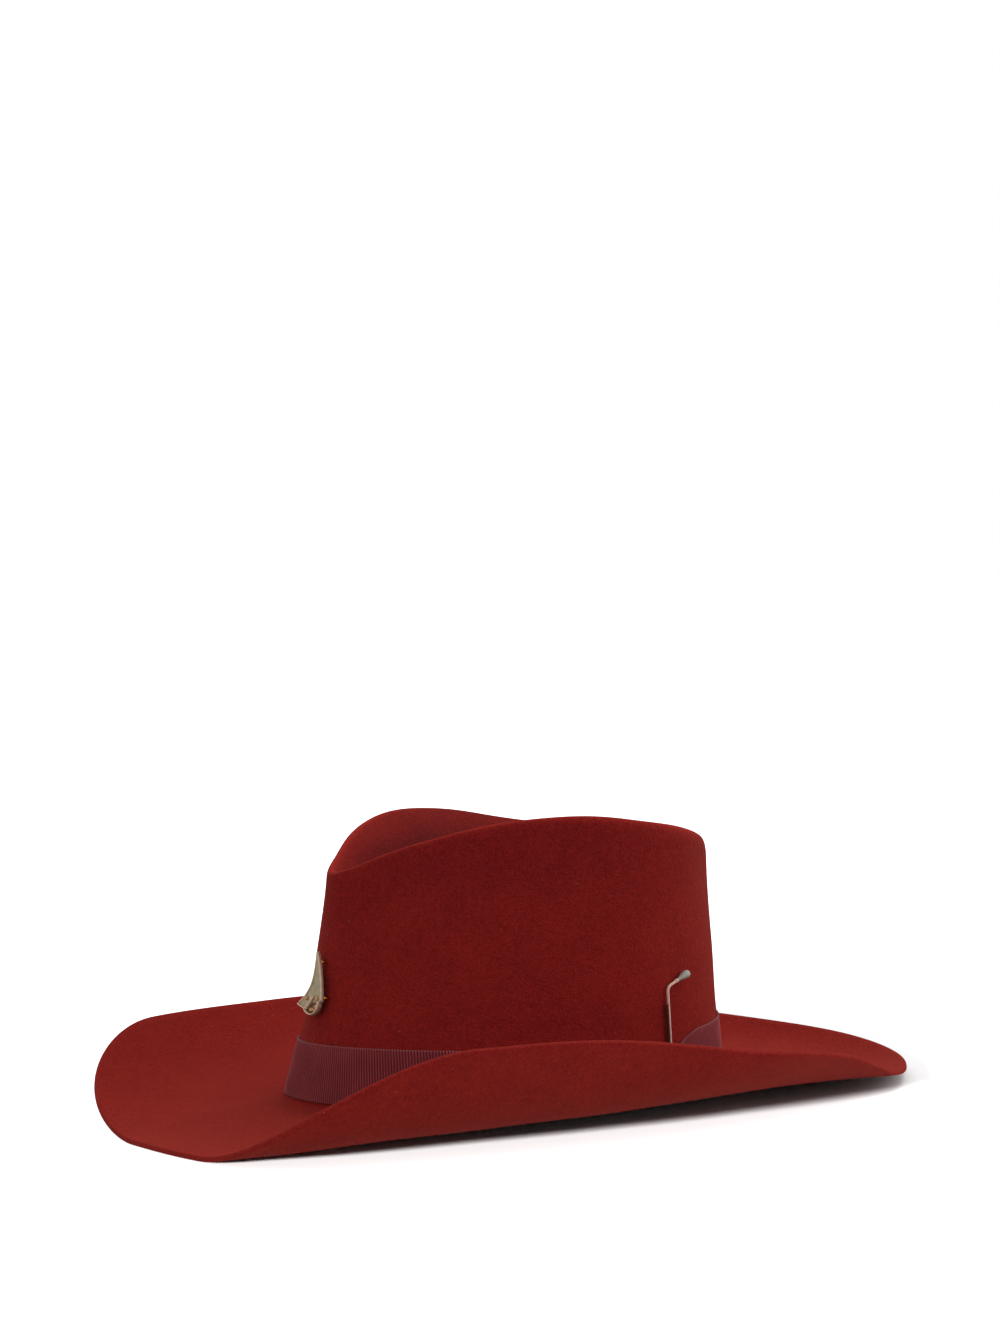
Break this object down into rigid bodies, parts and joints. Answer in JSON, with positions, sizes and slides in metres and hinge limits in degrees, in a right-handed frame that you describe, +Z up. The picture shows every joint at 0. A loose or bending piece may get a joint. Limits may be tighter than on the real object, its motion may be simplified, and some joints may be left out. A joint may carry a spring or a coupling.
{
  "type": "felt hat",
  "caption": "Felt hat with a teardrop centre-dent crown, rolled wide brim, ribbed ribbon band, leather sweatband and removable pins; worn on the head.",
  "frame": {"origin": "under the middle of the hat's outline, on the surface that the brim rests on", "axes": "+Z up, -Y towards the front of the hat, +X towards the wearer's left"},
  "size_m": [0.3266, 0.3682, 0.1302],
  "materials": {
    "felt": "short brushed nap, matt",
    "ribbon": "ribbed grosgrain with a low sheen",
    "leather": "smooth matt leather",
    "reed": "matt",
    "pale_metal": "satin",
    "gold_metal": "polished",
    "amber": "glossy"
  },
  "bodies": {
    "hat": {"felt_body": "felt", "hat_band": "ribbon", "band_keeper": "ribbon", "sweatband": "leather", "sweatband_reed": "reed", "sweatband_join": "leather"},
    "brooch": {"brooch_sail": "pale_metal", "brooch_hull": "pale_metal", "brooch_studs": "gold_metal", "brooch_stones": "amber", "brooch_post": "gold_metal"},
    "clutch": {"brooch_clutch": "pale_metal"},
    "stick_pin": {"stick_stem": "pale_metal", "stick_collar": "pale_metal", "stick_head": "pale_metal"}
  },
  "joints": [
    {"name": "brooch_pull", "type": "slide", "parent": "hat", "child": "brooch", "axis": [0.0206, -0.9836, 0.179], "range_m": [0, 0.01]},
    {"name": "clutch_pull", "type": "slide", "parent": "hat", "child": "clutch", "axis": [-0.0206, 0.9836, -0.179], "range_m": [0, 0.008]},
    {"name": "stick_pull", "type": "slide", "parent": "hat", "child": "stick_pin", "axis": [-0.0685, 0.0391, 0.9969], "range_m": [0, 0.02]}
  ]
}
